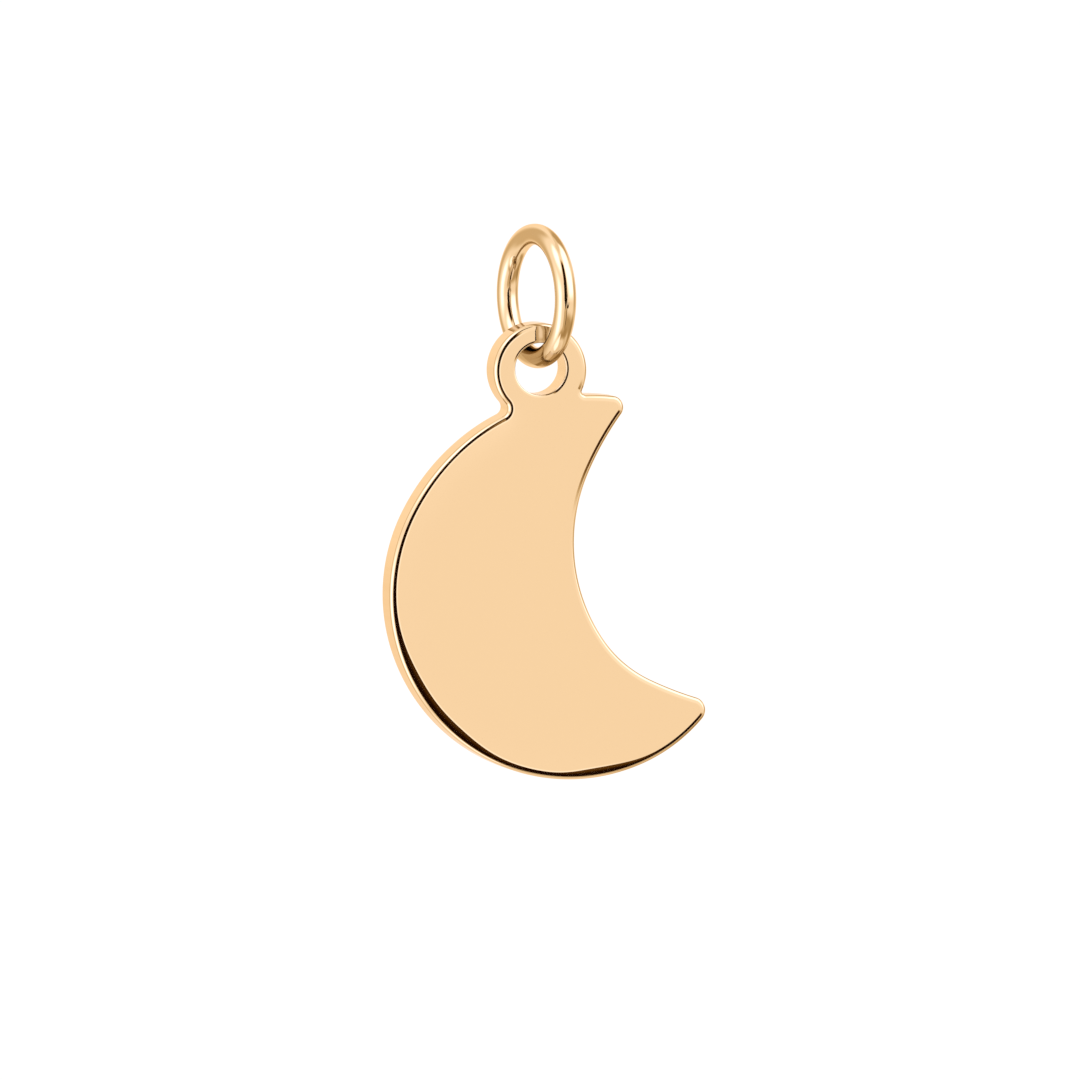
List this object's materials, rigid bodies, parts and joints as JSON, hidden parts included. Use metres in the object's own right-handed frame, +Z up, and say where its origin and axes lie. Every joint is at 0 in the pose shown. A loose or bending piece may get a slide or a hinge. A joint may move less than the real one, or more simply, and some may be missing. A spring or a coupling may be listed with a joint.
{
  "type": "moon charm",
  "caption": "Flat crescent-moon charm of polished yellow gold with a round eye at its top, hung from a closed jump ring of round wire; made to hang on a chain.",
  "frame": {"origin": "the inner top of the jump ring, where the chain carries the charm", "axes": "+Z up, along the hanging charm; -Y out of the crescent's front face; +X towards the tips of the crescent's horns"},
  "size_m": [0.0099, 0.0042, 0.0169],
  "materials": {
    "polished_gold": "mirror polished yellow gold"
  },
  "bodies": {
    "ring": {"jump_ring": "polished_gold"},
    "charm": {"moon_plate": "polished_gold"}
  },
  "joints": [
    {"name": "plate_swing", "type": "hinge", "parent": "ring", "child": "charm", "pos_m": [0, 0, -0.00373], "axis": [0, 1, 0], "range_deg": [-120, 120]}
  ]
}
